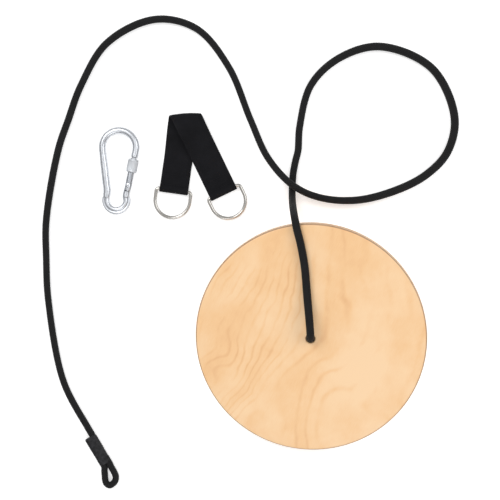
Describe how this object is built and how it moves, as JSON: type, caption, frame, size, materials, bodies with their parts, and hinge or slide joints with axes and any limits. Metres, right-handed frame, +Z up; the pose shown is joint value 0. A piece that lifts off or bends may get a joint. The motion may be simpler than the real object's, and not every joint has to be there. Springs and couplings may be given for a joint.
{
  "type": "disc swing seat kit",
  "caption": "Round wooden disc swing seat on a knotted black rope with a sleeved eye, laid out with a folded webbing hanging strap, D-rings and a screw-lock carabiner.",
  "frame": {"origin": "middle of the rigid pieces' plan outline, on the floor they lie on", "axes": "+Z up from the floor; +Y towards the far side of the laid-out kit, where the carabiner's bow points; +X from the carabiner towards the seat"},
  "size_m": [0.5516, 0.6255, 0.0768],
  "materials": {
    "birch_ply": "clear satin lacquer",
    "rope_braid": "braided black polyester",
    "shrink_sleeve": "shrunk tube, slightly shiny",
    "webbing": "woven black webbing",
    "nickel_wire": "nickel plated",
    "zinc_plate": "bright zinc plated steel"
  },
  "bodies": {
    "rope": {"rope_over_seat": "rope_braid", "rope_on_floor": "rope_braid", "rope_eye": "rope_braid", "eye_sleeve": "shrink_sleeve", "stopper_knot": "rope_braid", "knot_tail": "rope_braid"},
    "seat": {"seat_disc": "birch_ply"},
    "strap": {"strap_webbing": "webbing"},
    "left_ring": {"d_ring_left": "nickel_wire"},
    "right_ring": {"d_ring_right": "nickel_wire"},
    "carabiner": {"carabiner_body": "zinc_plate", "gate_pin": "zinc_plate"},
    "gate": {"gate": "zinc_plate", "gate_spring": "zinc_plate"},
    "lock_sleeve": {"lock_sleeve": "zinc_plate"},
    "plunger": {"spring_plunger": "zinc_plate"}
  },
  "joints": [
    {"name": "seat_spin", "type": "hinge", "parent": "rope", "child": "seat", "pos_m": [0.0656, -0.0724, 0.02709], "axis": [-0.0947, -0.1576, 0.9829], "continuous": true},
    {"name": "strap_lift", "type": "slide", "parent": "rope", "child": "strap", "axis": [0, 0, 1], "range_m": [0, 0.2]},
    {"name": "left_ring_swing", "type": "hinge", "parent": "strap", "child": "left_ring", "pos_m": [-0.1152, 0.11882, 0.00455], "axis": [-0.99, 0.1409, 0], "range_deg": [0, 150]},
    {"name": "right_ring_swing", "type": "hinge", "parent": "strap", "child": "right_ring", "pos_m": [-0.05006, 0.11632, 0.00455], "axis": [-0.9011, -0.4337, 0], "range_deg": [0, 150]},
    {"name": "carabiner_lift", "type": "slide", "parent": "rope", "child": "carabiner", "axis": [0, 0, 1], "range_m": [0, 0.2]},
    {"name": "gate_open", "type": "hinge", "parent": "carabiner", "child": "gate", "pos_m": [-0.17574, 0.12341, 0.00674], "axis": [-0.071, -0.0081, 0.9974], "range_deg": [0, 28], "stiffness_Nm_per_rad": 0.06, "springref_deg": -34.38},
    {"name": "lock_sleeve_travel", "type": "slide", "parent": "gate", "child": "lock_sleeve", "axis": [0.2105, 0.9773, 0.0229], "range_m": [0, 0.007]},
    {"name": "plunger_travel", "type": "slide", "parent": "gate", "child": "plunger", "axis": [0.2105, 0.9773, 0.0229], "range_m": [0, 0.0013], "deforming": ["gate_spring"]}
  ],
  "couplings": [
    {"joint": "plunger_travel", "follows": "gate_open", "m_per_rad": 0.0024555}
  ]
}
